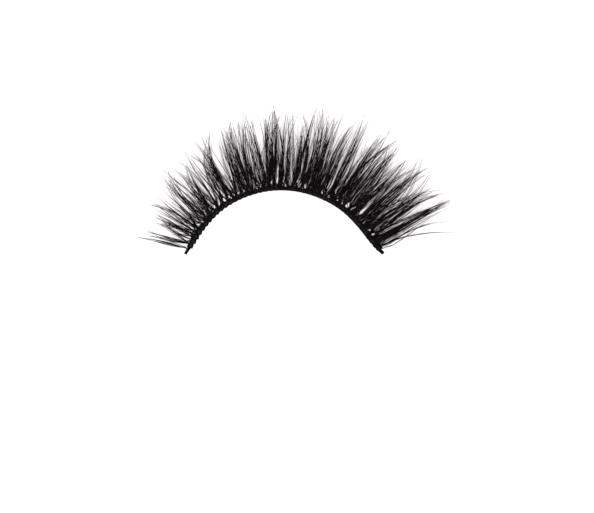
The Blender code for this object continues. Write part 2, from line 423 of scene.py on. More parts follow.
def beside_band(station, out):
    """A place square out from the band's inner edge, which is a chain of arcs."""
    x = 0.0
    y = 0.0
    for low, high in zip(SHAPES, SHAPES[1:]):
        last = station <= high.station or high is SHAPES[-1]
        start = math.radians(low.bend)
        turn = math.radians(high.bend - low.bend) / (high.station - low.station)
        end = start + turn * ((station if last else high.station) - low.station)
        radius = BAND_LENGTH / turn
        x += radius * (math.sin(end) - math.sin(start))
        y += radius * (math.cos(end) - math.cos(start))
        if last:
            break
    return Vector((x + out * math.sin(end), y + out * math.cos(end), 0.0))


def row_distance(station):
    """How far from the band's inner edge the rows of hair begin."""
    return shape_at(station).width * MM + ROW_GAP


# %% [markdown]
# The solid band is already in the frame, and its box tells where the strip lies. The same outline is
# worked out here from the table, and the difference between the two boxes is the way from the drawing to
# the table top.

# %% Where the strip lies
OUTLINE_STEPS = 330

outline = []
for step in range(OUTLINE_STEPS + 1):
    station = step / OUTLINE_STEPS
    outline += [beside_band(station, 0.0), beside_band(station, shape_at(station).width * MM)]
drawn_left = min(place.x for place in outline)
drawn_right = max(place.x for place in outline)
drawn_bottom = min(place.y for place in outline)
band_low, band_high = (Vector(corner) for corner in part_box("band"))
to_middle = (band_low.x + band_high.x - drawn_left - drawn_right) / 2
TO_TABLE = Vector((to_middle, band_low.y - drawn_bottom, 0.0))
print("from the drawing to the table in mm:", [round(value / MM, 3) for value in TO_TABLE])
print("band width, drawn and packed:", drawn_right - drawn_left, band_high.x - band_low.x)

# %% [markdown]
# Now the ruler's points can be set out. It runs past both ends of the band, because the tips of the
# outermost locks lie beyond them.

# %% The ruler
RULER_START = -0.15
RULER_END = 1.20
RULER_POINTS = 541


def mesh_lines(name, lines, facts):
    """A mesh of open lines. facts holds lists of one value for each point, under the name it will have."""
    vertices = [place for line in lines for place in line]
    edges = []
    first = 0
    for line in lines:
        edges += [(first + step, first + step + 1) for step in range(len(line) - 1)]
        first += len(line)
    mesh = bpy.data.meshes.new(name)
    mesh.from_pydata(vertices, edges, [])
    for fact, values in facts.items():
        if isinstance(values[0], int):
            attribute = mesh.attributes.new(fact, "INT", "POINT")
            attribute.data.foreach_set("value", values)
        elif isinstance(values[0], float):
            attribute = mesh.attributes.new(fact, "FLOAT", "POINT")
            attribute.data.foreach_set("value", values)
        else:
            attribute = mesh.attributes.new(fact, "FLOAT_VECTOR", "POINT")
            attribute.data.foreach_set("vector", [number for value in values for number in value])
    made = bpy.data.objects.new(name, mesh)
    bpy.context.scene.collection.objects.link(made)
    return made


ruler_line = []
row_arrows = []
fan_arrows = []
for step in range(RULER_POINTS):
    station = RULER_START + (RULER_END - RULER_START) * step / (RULER_POINTS - 1)
    edge = beside_band(station, 0.0)
    fan = math.radians(shape_at(station).fan)
    ruler_line.append(edge + TO_TABLE)
    row_arrows.append(beside_band(station, row_distance(station)) - edge)
    fan_arrows.append(Vector((math.sin(fan), math.cos(fan), 0.0)))
ruler = mesh_lines("ruler", [ruler_line], {"row": row_arrows, "fan": fan_arrows})
print("ruler points:", len(ruler_line))

# %% [markdown]
# ## Bending a straight drawing round the band
#
# Several trees need the same last step, so it is written once. It turns X into a share of the ruler's
# length, samples the ruler there, and lays Y along the arrows. `Sample Curve` blends between the ruler's
# points, so the bend is smooth.

# %% Bend
def named(graph, name, kind):
    """What the geometry carries under a name."""
    return graph.node("GeometryNodeInputNamedAttribute", {"data_type": kind}, {"Name": name})


def bend_round_band(graph, ruler_socket, x, y, z):
    """The bent place of a straight drawing's x, y and z."""
    geometry = graph.node("GeometryNodeObjectInfo", {}, {"Object": ruler_socket}, "Geometry")
    curve = graph.node("GeometryNodeMeshToCurve", {}, {"Mesh": geometry})
    share = (x / BAND_LENGTH - RULER_START) / (RULER_END - RULER_START)
    sampled = []
    for arrow in ("row", "fan"):
        settings = {"mode": "FACTOR", "data_type": "FLOAT_VECTOR"}
        wanted = {"Curves": curve, "Value": named(graph, arrow, "FLOAT_VECTOR"), "Factor": share}
        sampled.append(graph.node("GeometryNodeSampleCurve", settings, wanted, "Value"))
    row, fan = sampled
    edge = Field(graph, row.socket.node.outputs["Position"])
    row_length = graph.node("ShaderNodeVectorMath", {"operation": "LENGTH"}, {0: row}, "Value")
    square = y.at_most(row_length)
    return edge + row * (square / row_length) + fan * (y - square) + graph.vector(0.0, 0.0, z)


def store(graph, geometry, name, kind, domain, value):
    """The geometry, which from here on carries the value under a name."""
    settings = {"data_type": kind, "domain": domain}
    wanted = {"Geometry": geometry, "Name": name, "Value": value}
    return graph.node("GeometryNodeStoreNamedAttribute", settings, wanted)


def new_tree(name, sizes):
    """A geometry tree with named inputs: the graph to write it with, and its inputs by their names."""
    tree = bpy.data.node_groups.new(name, "GeometryNodeTree")
    tree.interface.new_socket("Geometry", in_out="INPUT", socket_type="NodeSocketGeometry")
    for size, kind in sizes.items():
        tree.interface.new_socket(size, in_out="INPUT", socket_type=f"NodeSocket{kind}")
    tree.interface.new_socket("Geometry", in_out="OUTPUT", socket_type="NodeSocketGeometry")
    graph = Graph(tree)
    group = tree.nodes.new("NodeGroupInput")
    sockets = {socket.name: Field(graph, socket) for socket in group.outputs if socket.name}
    return graph, sockets


def end_tree(graph, geometry, finish):
    """Realises, gives the material and ends the tree."""
    real = graph.node("GeometryNodeRealizeInstances", {}, {"Geometry": geometry})
    dressed = graph.node("GeometryNodeSetMaterial", {}, {"Geometry": real, "Material": finish})
    output = graph.tree.nodes.new("NodeGroupOutput")
    graph.tree.links.new(dressed.socket, output.inputs[0])
    return graph.tree


def grow(name, source, tree, values):
    """Runs a tree on a source object and returns its result as a plain mesh object."""
    modifier = source.modifiers.new("grow", "NODES")
    modifier.node_group = tree
    for item in tree.interface.items_tree:
        if item.in_out == "INPUT" and item.name in values:
            modifier[item.identifier] = values[item.name]
    bpy.context.view_layer.update()
    evaluated = source.evaluated_get(bpy.context.evaluated_depsgraph_get())
    mesh = bpy.data.meshes.new_from_object(evaluated)
    mesh.name = name
    bpy.data.objects.remove(source)
    made = bpy.data.objects.new(name, mesh)
    bpy.context.scene.collection.objects.link(made)
    triangles = sum(len(polygon.vertices) - 2 for polygon in mesh.polygons)
    print(name, "triangles:", triangles)
    return made


# %% [markdown]
# ## The hair tree
#
# A lock of real lashes is a few dozen fibres that were knotted to the band near each other. They leave
# their knots to both sides, cross the fibres of the next knots and then run almost straight to the points
# of their lock. Drawing each by hand is out of the question, and Blender's own hair particles don't keep
# to such a pattern. The tree below makes the hairs from guide lines, one for each lock:
#
# 1. Each guide is copied once for every hair of its lock.
# 2. Each copy gets a knot of its own near the lock's root and starts there. From the knot it leans over
#    to the guide, evenly along its whole length. A bent hair would look like a flame.
# 3. In the first millimetres it also swings to the side where its tip lies. How far is drawn once for each
#    knot and side, so all the rows share one net, and the gaps between the knots stay open.
# 4. Towards the tips the hairs of a lock part into strands, each with a point and a length of its own.
# 5. The straight drawing is bent round the band, and each line becomes a thin tube that tapers.
#
# Every random value belongs to a whole hair, so it is worked out on the curve domain.

# %% Hair tree
NET_LENGTH = 2.0 * MM
NET_SEED = 16
STRAND_NUMBERS = 20.0
KNOT_ROOM = {"Min": 0.6, "Max": 2.6}
NET_SWING = {"Min": 0.4, "Max": 1.5}
GATHERING = 1.1
LEAST_ROOM = 0.2
LEAST_FORK = 0.25
FORK_STEP = (0.3, 1.1)
WAVE_START = (0.0, 6.28)
WAVE_RUN = (2.0, 7.0)
HEIGHT_SHARE = 0.09
HEIGHT_SPREAD = 0.09 * MM
OUT_SPREAD = 0.05 * MM
STRAND_LENGTH = (0.78, 1.0)
SHORT_ONES = 2.5
SLIMNESS = (0.72, 1.22)
TAPER = (0.45, 1.10)
BAKE_EDGE = 0.03
BAKE_HAIRS = 0.90
BAKE_SIDES = 0.04
BAKE_LENGTH = 0.94
HAIR_SIZES = {
    "Ruler": "Object",
    "Finish": "Material",
    "Seed": "Int",
    "Sides": "Int",
    "Thickness": "Float",
    "Tip thickness": "Float",
    "Knot pitch": "Float",
    "First knot": "Float",
    "Last knot": "Float",
    "Knot width": "Float",
    "Stray width": "Float",
    "Slope": "Float",
    "Strands": "Float",
    "Strand width": "Float",
    "Fork width": "Float",
    "Shortest": "Float",
    "Waviness": "Float",
    "Table gap": "Float",
}


def hair_tree():
    """Makes hairs from guide lines that carry their number of hairs, their root and their width."""
    graph, size = new_tree("combed_hair", HAIR_SIZES)
    node = graph.node
    index = node("GeometryNodeInputIndex", {}, {})

    def on_hair(value):
        """The value as it is for a whole hair, read on each of its points."""
        return node("GeometryNodeFieldOnDomain", {"domain": "CURVE", "data_type": "FLOAT"}, {"Value": value})

    def chance(low, high, salt, key=index):
        """A random number for each hair, or for each value of the key."""
        wanted = {"Min": low, "Max": high, "ID": key, "Seed": size["Seed"] + salt}
        return on_hair(node("FunctionNodeRandomValue", {"data_type": "FLOAT"}, wanted))

    def bell(salt, key=index):
        """Three random numbers from -1 to 1, added up, so the sum is mostly near 0."""
        wanted = {"Min": (-1.0,) * 3, "Max": (1.0,) * 3, "ID": key, "Seed": size["Seed"] + salt}
        three = node("FunctionNodeRandomValue", {"data_type": "FLOAT_VECTOR"}, wanted)
        added = {0: three, 1: (1.0,) * 3}
        return on_hair(node("ShaderNodeVectorMath", {"operation": "DOT_PRODUCT"}, added, "Value"))

    guides = node("GeometryNodeMeshToCurve", {}, {"Mesh": size["Geometry"]})
    along = node("GeometryNodeSplineParameter", {}, {}, "Factor")
    guides = store(graph, guides, "along", "FLOAT", "POINT", along)
    run = node("GeometryNodeSplineParameter", {}, {}, "Length")
    guides = store(graph, guides, "run", "FLOAT", "POINT", run)
    wanted = {"Geometry": guides, "Amount": named(graph, "hairs", "INT")}
    hairs = node("GeometryNodeDuplicateElements", {"domain": "SPLINE"}, wanted)
    along = named(graph, "along", "FLOAT")
    run = named(graph, "run", "FLOAT")
    x, y, z = node("GeometryNodeInputPosition", {}, {}).parts()

    # A lock is made of strands. Each hair starts at the knot nearest to the place that was drawn for it,
    # and some knots are wider than others.
    strand = named(graph, "lock", "FLOAT") * STRAND_NUMBERS + chance(0.0, size["Strands"], 4).rounded()
    root = named(graph, "root", "FLOAT")
    wished = root + bell(1, strand) * named(graph, "scatter", "FLOAT") + bell(17) * size["Stray width"]
    number = (wished / size["Knot pitch"]).rounded()
    knot = (number * size["Knot pitch"]).at_least(size["First knot"]).at_most(size["Last knot"])
    wanted = KNOT_ROOM | {"ID": number, "Seed": NET_SEED + 1}
    room = on_hair(node("FunctionNodeRandomValue", {"data_type": "FLOAT"}, wanted)) * size["Knot width"]
    room = room * named(graph, "net", "FLOAT").at_least(LEAST_ROOM)
    gathered = (1 - along) ** GATHERING
    lean = (knot + bell(2) * room - root) * gathered

    # The hairs of a knot leave it in two bundles, one to each side, which cross those of the next knots.
    # The swing slows down and ends at the net's upper edge.
    aim = named(graph, "aim", "FLOAT") - knot + chance(-0.5, 0.5, 15) * size["Knot pitch"]
    side = (aim + 0.001 * MM).sign()
    wanted = NET_SWING | {"ID": number * 3.0 + side, "Seed": NET_SEED}
    uneven = on_hair(node("FunctionNodeRandomValue", {"data_type": "FLOAT"}, wanted))
    slope = side * uneven * size["Slope"] * named(graph, "net", "FLOAT")
    rest = 1 - (run / NET_LENGTH).at_most(1.0)
    lean = lean + slope * NET_LENGTH / 2 * (1 - rest * rest) * gathered

    # Hairs lie side by side in their strand, and the strands of a lock spread towards their points. A
    # bundle that has no part in the net keeps together.
    beside = bell(3) * size["Strand width"] * along.smooth(0.05, 0.35) * (1 - 0.6 * along)
    fork = size["Fork width"] * along.smooth(*FORK_STEP) * named(graph, "net", "FLOAT").at_least(LEAST_FORK)
    strand_side = bell(5, strand) * (named(graph, "width", "FLOAT") + fork) * along
    wave = chance(*WAVE_START, 6) + along * chance(*WAVE_RUN, 7)
    waved = wave.sine() * size["Waviness"] * along.smooth(0.0, 0.5)
    across = x + lean + beside + strand_side + waved

    # Some hairs stand a little higher than others, and none goes into the table.
    height = z * (1 + HEIGHT_SHARE * bell(8)) + bell(9) * HEIGHT_SPREAD * along.smooth(0.0, 0.3)
    out = y + bell(10) * OUT_SPREAD
    place = bend_round_band(graph, size["Ruler"], across, out, height.at_least(size["Table gap"]))
    hairs = node("GeometryNodeSetPosition", {}, {"Geometry": hairs, "Position": place})

    strand_length = chance(*STRAND_LENGTH, 11, strand)
    short = chance(0.0, 1.0, 12)
    end = strand_length * (1 - (1 - size["Shortest"]) * short ** SHORT_ONES)
    hairs = node("GeometryNodeTrimCurve", {"mode": "FACTOR"}, {"Curve": hairs, "Start": 0.0, "End": end})
    hairs = store(graph, hairs, "hair", "FLOAT", "CURVE", chance(0.0, 1.0, 13))
    tip = node("GeometryNodeSplineParameter", {}, {}, "Factor")
    hairs = store(graph, hairs, "tip", "FLOAT", "POINT", tip)
    hairs = node("GeometryNodeSetCurveNormal", {"mode": "Z_UP"}, {"Curve": hairs})

    wanted = {"Resolution": size["Sides"], "Radius": 1.0}
    ring = node("GeometryNodeCurvePrimitiveCircle", {"mode": "RADIUS"}, wanted)
    round_ring = node("GeometryNodeSplineParameter", {}, {}, "Factor")
    ring = store(graph, ring, "side", "FLOAT", "POINT", round_ring)
    slim = chance(*SLIMNESS, 14)
    thick = size["Thickness"] * slim * (1 - tip.smooth(*TAPER)) + size["Tip thickness"]
    tubes = {"Curve": hairs, "Profile Curve": ring, "Scale": thick * 0.5, "Fill Caps": True}
    mesh = node("GeometryNodeCurveToMesh", {}, tubes)
    mesh = node("GeometryNodeSetShadeSmooth", {}, {"Geometry": mesh})

    # Where each hair's colour lies when the finish is baked to a picture.
    u = named(graph, "hair", "FLOAT") * BAKE_HAIRS + BAKE_EDGE + named(graph, "side", "FLOAT") * BAKE_SIDES
    v = named(graph, "tip", "FLOAT") * BAKE_LENGTH + BAKE_EDGE
    mesh = store(graph, mesh, "OFBake", "FLOAT2", "CORNER", graph.vector(u, v, 0.0))
    return end_tree(graph, mesh, size["Finish"])


combed_hair = hair_tree()
print("nodes in the hair tree:", len(combed_hair.nodes))

# %% [markdown]
# ## The guides
#
# A guide is the middle line of one lock on the straight drawing. It starts inside the band, passes the
# place where the rows of hair begin and rises with a growing slope, which is the curl. `Curl` holds the
# slope at the start and at the tip, and how late it grows.

# %% Guides
Curl = namedtuple("Curl", "start lift tip_lift power")
LONG_CURL = Curl(0.42 * MM, 9.0, 54.0, 1.2)
SHORT_CURL = Curl(0.11 * MM, 0.5, 38.0, 1.4)
GUIDE_STEPS = 12
COURSE = 0.75
ROOT_HEIGHT = 0.60

Lock = namedtuple("Lock", "root tip reach width hairs scatter course net", defaults=(COURSE, 1.0))


def guide(lock, curl):
    """The middle line of a lock on the straight drawing."""
    lifts = [
        math.radians(curl.lift + (curl.tip_lift - curl.lift) * ((step + 0.5) / GUIDE_STEPS) ** curl.power)
        for step in range(GUIDE_STEPS)
    ]
    start = row_distance(lock.root)
    step_length = (lock.reach * MM - start) / sum(math.cos(lift) for lift in lifts)
    middle = shape_at(lock.root).width * MM / 2
    line = [(lock.root * BAND_LENGTH, middle, curl.start * ROOT_HEIGHT)]
    out = start
    height = curl.start
    for step in range(GUIDE_STEPS + 1):
        station = lock.root + (lock.tip - lock.root) * (step / GUIDE_STEPS) ** lock.course
        line.append((station * BAND_LENGTH, out, height))
        if step < GUIDE_STEPS:
            out += step_length * math.cos(lifts[step])
            height += step_length * math.sin(lifts[step])
    return line


def guides(name, locks, curl):
    """A mesh of guides that carry what the hair tree reads."""
    points = GUIDE_STEPS + 2
    facts = {
        "lock": [float(number) for number in range(len(locks)) for point in range(points)],
        "root": [lock.root * BAND_LENGTH for lock in locks for point in range(points)],
        "aim": [lock.tip * BAND_LENGTH for lock in locks for point in range(points)],
        "width": [lock.width * MM for lock in locks for point in range(points)],
        "scatter": [lock.scatter * MM for lock in locks for point in range(points)],
        "net": [lock.net for lock in locks for point in range(points)],
        "hairs": [int(lock.hairs) for lock in locks for point in range(points)],
    }
    return mesh_lines(name, [guide(lock, curl) for lock in locks], facts)


# %% [markdown]
# ## The long row
#
# These are the locks that give the strip its outline. Their places were read off the real one: where each
# starts along the band, the station its tip lies over, its reach and its thickness. A thick lock gets more
# hairs. The reach is where a tip can still be seen, so the hairs are drawn a little longer.
#
# The last few, at the inner corner, are single bundles that stand apart, and each gets a line of its own:
# the lowest take no part in the net, and two of them cross the others.

# %% Long locks
# the station of the root, that of the tip, the reach and the thickness in mm
LONG_LOCKS = (
    (0.100, 0.115, 7.7, 0.76), (0.138, 0.151, 8.4, 0.66), (0.172, 0.165, 8.6, 0.73),
    (0.200, 0.202, 8.2, 0.56), (0.229, 0.236, 8.7, 0.76), (0.250, 0.274, 8.8, 0.82),
    (0.290, 0.287, 9.6, 0.76), (0.322, 0.324, 9.1, 0.59), (0.346, 0.354, 9.8, 0.82),
    (0.360, 0.369, 9.9, 0.46), (0.380, 0.399, 10.7, 0.73), (0.410, 0.415, 10.8, 0.69),
    (0.438, 0.452, 10.5, 0.92), (0.470, 0.474, 9.7, 0.56), (0.484, 0.491, 11.0, 0.89),
    (0.509, 0.513, 11.1, 0.69), (0.538, 0.543, 10.4, 0.56), (0.560, 0.569, 11.8, 0.92),
    (0.588, 0.597, 11.6, 0.70), (0.616, 0.620, 11.5, 0.96), (0.652, 0.650, 11.7, 0.86),
    (0.684, 0.676, 12.2, 0.92), (0.715, 0.722, 12.1, 0.92), (0.743, 0.750, 12.1, 0.82),
    (0.762, 0.766, 11.5, 0.66), (0.783, 0.782, 11.3, 0.66), (0.810, 0.815, 12.1, 0.89),
    (0.834, 0.836, 11.8, 0.66), (0.866, 0.852, 12.3, 0.89), (0.878, 0.902, 11.8, 0.92),
    (0.906, 0.916, 11.7, 0.63), (0.946, 0.952, 12.5, 0.89), (0.968, 0.970, 11.5, 0.66),
)
HAIRS_PER_MM = 21
LOCK_SPREAD = 0.10
LONG_REACH = 1.09
CREST_SHORTER = 0.05
ROOT_SCATTER = 0.95
CORNER_FULLNESS = 0.45
MIDDLE_FULLER = 0.57
OUTER_FULLER = 0.12

# the stations between which the strip changes from one part to the next
CORNER_TO_MIDDLE = (0.04, 0.22)
MIDDLE_TO_CREST = (0.30, 0.50)
MIDDLE_TO_OUTER = (0.45, 0.65)


def between(value, low, high):
    """0 up to low, 1 from high on, and the share of the way in between."""
    return min(max((value - low) / (high - low), 0.0), 1.0)


def fullness(station):
    """How full the strip is: open towards the inner corner and fullest in its outer half."""
    middle = MIDDLE_FULLER * between(station, *CORNER_TO_MIDDLE)
    return CORNER_FULLNESS + middle + OUTER_FULLER * between(station, *MIDDLE_TO_OUTER)


long_locks = []
for root, tip, reach, thickness in LONG_LOCKS:
    full = fullness(root)
    hairs = round(thickness * HAIRS_PER_MM * full)
    reach *= LONG_REACH - CREST_SHORTER * between(root, *MIDDLE_TO_CREST)
    long_locks.append(Lock(root, tip, reach, thickness * LOCK_SPREAD, hairs, ROOT_SCATTER * full))
long_locks += [
    Lock(0.022, 0.006, 7.2, 0.00, 6, 0.00, 0.5, 0.0),
    Lock(0.040, 0.013, 7.3, 0.02, 4, 0.00, 0.6, 0.0),
    Lock(0.044, 0.027, 7.0, 0.02, 5, 0.00, 0.7, 0.0),
    Lock(0.046, 0.070, 5.4, 0.00, 3, 0.00, 1.1, 0.1),
    Lock(0.078, 0.038, 7.0, 0.02, 3, 0.05, 1.3, 0.2),
    Lock(0.084, 0.058, 7.4, 0.05, 7, 0.10, 1.4, 0.5),
    Lock(0.064, 0.066, 7.2, 0.06, 5, 0.08, 1.2, 0.5),
    Lock(0.082, 0.084, 8.2, 0.06, 6, 0.15, 1.3, 0.6),
]
common_sizes = {
    "Ruler": ruler,
    "Sides": 3,
    "Knot pitch": KNOT_PITCH,
    "First knot": 0.022 * BAND_LENGTH,
    "Last knot": 0.974 * BAND_LENGTH,
    "Table gap": 0.05 * MM,
}
long_hair = grow("long_hair", guides("long_guides", long_locks, LONG_CURL), combed_hair, common_sizes | {
    "Finish": long_hair_finish,
    "Seed": 11,
    "Thickness": 0.076 * MM,
    "Tip thickness": 0.030 * MM,
    "Knot width": 0.085 * MM,
    "Stray width": 0.25 * MM,
    "Slope": 0.55,
    "Strands": 5.0,
    "Strand width": 0.10 * MM,
    "Fork width": 0.60 * MM,
    "Shortest": 0.60,
    "Waviness": 0.05 * MM,
})
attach(long_hair, "root")
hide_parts("upper_lashes")
print("long hairs:", sum(lock.hairs for lock in long_locks))

# %% [markdown]
# ## The short row
#
# Under the long locks lies a row of shorter hairs. Each knot sends two tufts, which lean to either side
# and cross their neighbours'. That net is what makes the strip dark and dense beside the band. Its tufts
# are thinner where the strip is more open. How far each leans and reaches is made uneven by a sine of its
# number, which needs no seed.

# %% Short tufts
SHORT_START = 0.045
SHORT_END = 0.972
SHORT_LEAN = 0.034
SHORT_REACH = 0.47
SHORT_UNEVEN = 0.12
SHORT_WIDTH = 0.14
SHORT_SCATTER = 0.05
SHORT_HAIRS = 5
THIN_HAIRS = 3
THIN_START = 0.12
THIN_END = 0.25

# how far a sine turns from one knot to the next
REACH_TURN = 2.4
LEAN_TURN = 5.1

short_locks = []
for knot in range(2, KNOTS):
    root = knot / KNOTS
    if not SHORT_START < root < SHORT_END:
        continue
    hairs = THIN_HAIRS if THIN_START < root < THIN_END else SHORT_HAIRS
    for side in (-1, 1):
        uneven = math.sin(REACH_TURN * knot + side)
        reach = SHORT_REACH * shape_at(root).reach * (1.0 + SHORT_UNEVEN * uneven)
        tip = root + side * SHORT_LEAN * (0.75 + 0.35 * math.sin(LEAN_TURN * knot))
        short_locks.append(Lock(root, tip, reach, SHORT_WIDTH, hairs, SHORT_SCATTER))

short_hair = grow("short_hair", guides("short_guides", short_locks, SHORT_CURL), combed_hair, common_sizes | {
    "Finish": short_hair_finish,
    "Seed": 23,
    "Thickness": 0.068 * MM,
    "Tip thickness": 0.016 * MM,
    "Knot width": 0.10 * MM,
    "Stray width": 0.05 * MM,
    "Slope": 0.65,
    "Strands": 2.0,
    "Strand width": 0.16 * MM,
    "Fork width": 0.30 * MM,
    "Shortest": 0.40,
    "Waviness": 0.06 * MM,
})
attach(short_hair, "root")
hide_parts("lower_lashes")
print("short hairs:", sum(lock.hairs for lock in short_locks))

# %% [markdown]
# ## The veil
#
# Between the locks a grey veil is seen: finer hairs that joined no lock and end below the others' tips.
# They come from the same tree, with guides that are spread evenly, more room to stray and a thinner fibre.
# At the inner corner there are none, since the white table shows there between the locks.

# %% Veil
VEIL_GUIDES = 64
VEIL_START = 0.09
VEIL_SPAN = 0.875
VEIL_REACH = 0.75
VEIL_OUTER_REACH = 0.06
VEIL_TO_OUTER = (0.5, 0.7)
VEIL_UNEVEN = 0.08
VEIL_REACH_TURN = 3.7
VEIL_LEAN = 0.004
VEIL_LEAN_TURN = 1.9
VEIL_WIDTH = 0.30
VEIL_SCATTER = 0.50
VEIL_HAIRS = 4.4

veil_locks = []
for number in range(VEIL_GUIDES):
    root = VEIL_START + VEIL_SPAN * number / (VEIL_GUIDES - 1)
    reach = (VEIL_REACH + VEIL_OUTER_REACH * between(root, *VEIL_TO_OUTER)) * shape_at(root).reach
    reach *= 1.0 + VEIL_UNEVEN * math.sin(VEIL_REACH_TURN * number)
    hairs = round(VEIL_HAIRS * fullness(root))
    tip = root + VEIL_LEAN * math.sin(VEIL_LEAN_TURN * number)
    veil_locks.append(Lock(root, tip, reach, VEIL_WIDTH, hairs, VEIL_SCATTER))

veil = grow("fine_hair", guides("veil_guides", veil_locks, LONG_CURL), combed_hair, common_sizes | {
    "Finish": long_hair_finish,
    "Seed": 37,
    "Thickness": 0.042 * MM,
    "Tip thickness": 0.014 * MM,
    "Knot width": 0.085 * MM,
    "Stray width": 0.30 * MM,
    "Slope": 0.55,
    "Strands": 6.0,
    "Strand width": 0.20 * MM,
    "Fork width": 0.45 * MM,
    "Shortest": 0.45,
    "Waviness": 0.12 * MM,
})
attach(veil, "root")
print("fine hairs:", sum(lock.hairs for lock in veil_locks))

# %% [markdown]
# Two thin strands at the outer corner have slipped from their lock and bend away below it.

# %% Strays
stray_locks = [
    Lock(0.974, 1.042, 11.0, 0.0, 3, 0.0, 3.4, 0.0),
    Lock(0.974, 1.108, 10.1, 0.0, 2, 0.0, 2.1, 0.0),
]
strays = grow("stray_hair", guides("stray_guides", stray_locks, LONG_CURL), combed_hair, common_sizes | {
    "Finish": long_hair_finish,
    "Seed": 5,
    "Thickness": 0.080 * MM,
    "Tip thickness": 0.018 * MM,
    "Knot width": 0.02 * MM,
    "Stray width": 0.0,
    "Slope": 0.0,
    "Strands": 1.0,
    "Strand width": 0.03 * MM,
    "Fork width": 0.03 * MM,
    "Shortest": 0.95,
    "Waviness": 0.05 * MM,
})
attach(strays, "root")

# %% [markdown]
# ## The band
#
# The band is a cotton cord that was wound with a finer thread, knot by knot, and pressed flat in glue. It
# could be one swept tube with a bump on it, but its inner edge is a row of small steps, one for each knot,
# and at both ends the bare twisted cord sticks out. So it is built as it is made: a body of glue and
# cotton that swells at the knots, the winding over it, a drop of glue at the roots of each tuft, and the
# plies of the cord at the ends.
#
# The body is a row of rounded cross-sections. Each knot starts with a step inwards and then runs back to
# the line of the band, since the thread was always pulled the same way.

# %% Band body
BODY_HEIGHT = 0.40 * MM
ROOT_WEB = 0.20 * MM
SECTION_POINTS = 16
SECTIONS_PER_KNOT = 12
STEP_SHARE = 0.12
INNER_INSET = 0.02 * MM
KNOT_SWELL = 0.03 * MM
KNOT_RISE = 0.12
ROUGHNESS = 0.012 * MM
ROUGHNESS_SCALE = 90.0
SIDE_ROUNDING = 0.75
TOP_ROUNDING = 0.62
END_CLOSING = (0.55, 0.82, 0.95)

# how far the knots step inwards at some stations, in mm
KNOT_STEPS = ((0.0, 0.25), (0.20, 0.19), (0.35, 0.10), (0.50, 0.04), (0.85, 0.03), (0.95, 0.10), (1.0, 0.10))


def knot_lump(station):
    """1 where a knot has just stepped inwards, down to 0 where the next one starts."""
    phase = (station * KNOTS + 0.5) % 1.0
    return min(phase / STEP_SHARE, (1.0 - phase) / (1.0 - STEP_SHARE))


def knot_step(station):
    """How far the knots step inwards at a station."""
    for (low, first), (high, second) in zip(KNOT_STEPS, KNOT_STEPS[1:]):
        if station <= high:
            return (first + (second - first) * (station - low) / (high - low)) * MM
    return KNOT_STEPS[-1][1] * MM


def body_sides(station):
    """How far out the body's inner and outer sides are."""
    lump = knot_lump(station)
    rough = ROUGHNESS * noise.noise(Vector((station * ROUGHNESS_SCALE, 3.0, 0.0)))
    inner = INNER_INSET - knot_step(station) * lump + rough
    outer = shape_at(station).width * MM + ROOT_WEB - KNOT_SWELL * (1 - lump) + rough
    return inner, outer


def power(value, exponent):
    """A power that keeps the sign, which turns a circle into a rounded box."""
    return math.copysign(abs(value) ** exponent, value)


def band_section(station, close):
    """One cross-section of the band's body, as places on the table."""
    inner, outer = body_sides(station)
    half = (outer - inner) / 2
    tall = BODY_HEIGHT * (1 - KNOT_RISE + KNOT_RISE * knot_lump(station))
    section = []
    for point in range(SECTION_POINTS):
        angle = math.tau * point / SECTION_POINTS
        out = (inner + outer) / 2 + half * close * power(math.cos(angle), SIDE_ROUNDING)
        place = beside_band(station, out) + TO_TABLE
        place.z = tall / 2 * (1.0 + close * power(math.sin(angle), TOP_ROUNDING))
        section.append(place)
    return section


def loft(name, sections, finish):
    """A closed body through a row of cross-sections."""
    work = bmesh.new()
    rings = [[work.verts.new(place) for place in section] for section in sections]
    for first, second in zip(rings, rings[1:]):
        for point in range(len(first)):
            after = (point + 1) % len(first)
            work.faces.new((first[point], first[after], second[after], second[point]))
    work.faces.new(rings[0])
    work.faces.new(rings[-1])
    bmesh.ops.recalc_face_normals(work, faces=work.faces)
    mesh = bpy.data.meshes.new(name)
    work.to_mesh(mesh)
    work.free()
    mesh.shade_smooth()
    mesh.materials.append(finish)
    made = bpy.data.objects.new(name, mesh)
    bpy.context.scene.collection.objects.link(made)
    return made


steps = int((OUTER_TAIL - INNER_TAIL) * KNOTS * SECTIONS_PER_KNOT)
sections = []
for step in range(steps + 1):
    end = min(step, steps - step)
    close = END_CLOSING[end] if end < len(END_CLOSING) else 1.0
    sections.append(band_section(INNER_TAIL + (OUTER_TAIL - INNER_TAIL) * step / steps, close))
band_body = loft("band_body", sections, band_finish)
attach(band_body, "root")
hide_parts("band")
print("band body faces:", len(band_body.data.polygons))

# %% [markdown]
# ## Winding and cord
#
# The winding and the plies of the cord are the same thing to a computer: threads that go round a core
# while they go along. On the straight drawing the middle line of a thread is a straight line of points,
# and each point carries how far the thread has turned there and how far from the line it runs. The tree
# turns that into the helix, bends it round the band and gives it thickness. For the winding the turns are
# short and wide, and for the cord's three plies they are long and narrow.

# %% Thread tree
THREAD_SIZES = {"Ruler": "Object", "Finish": "Material", "Sides": "Int"}


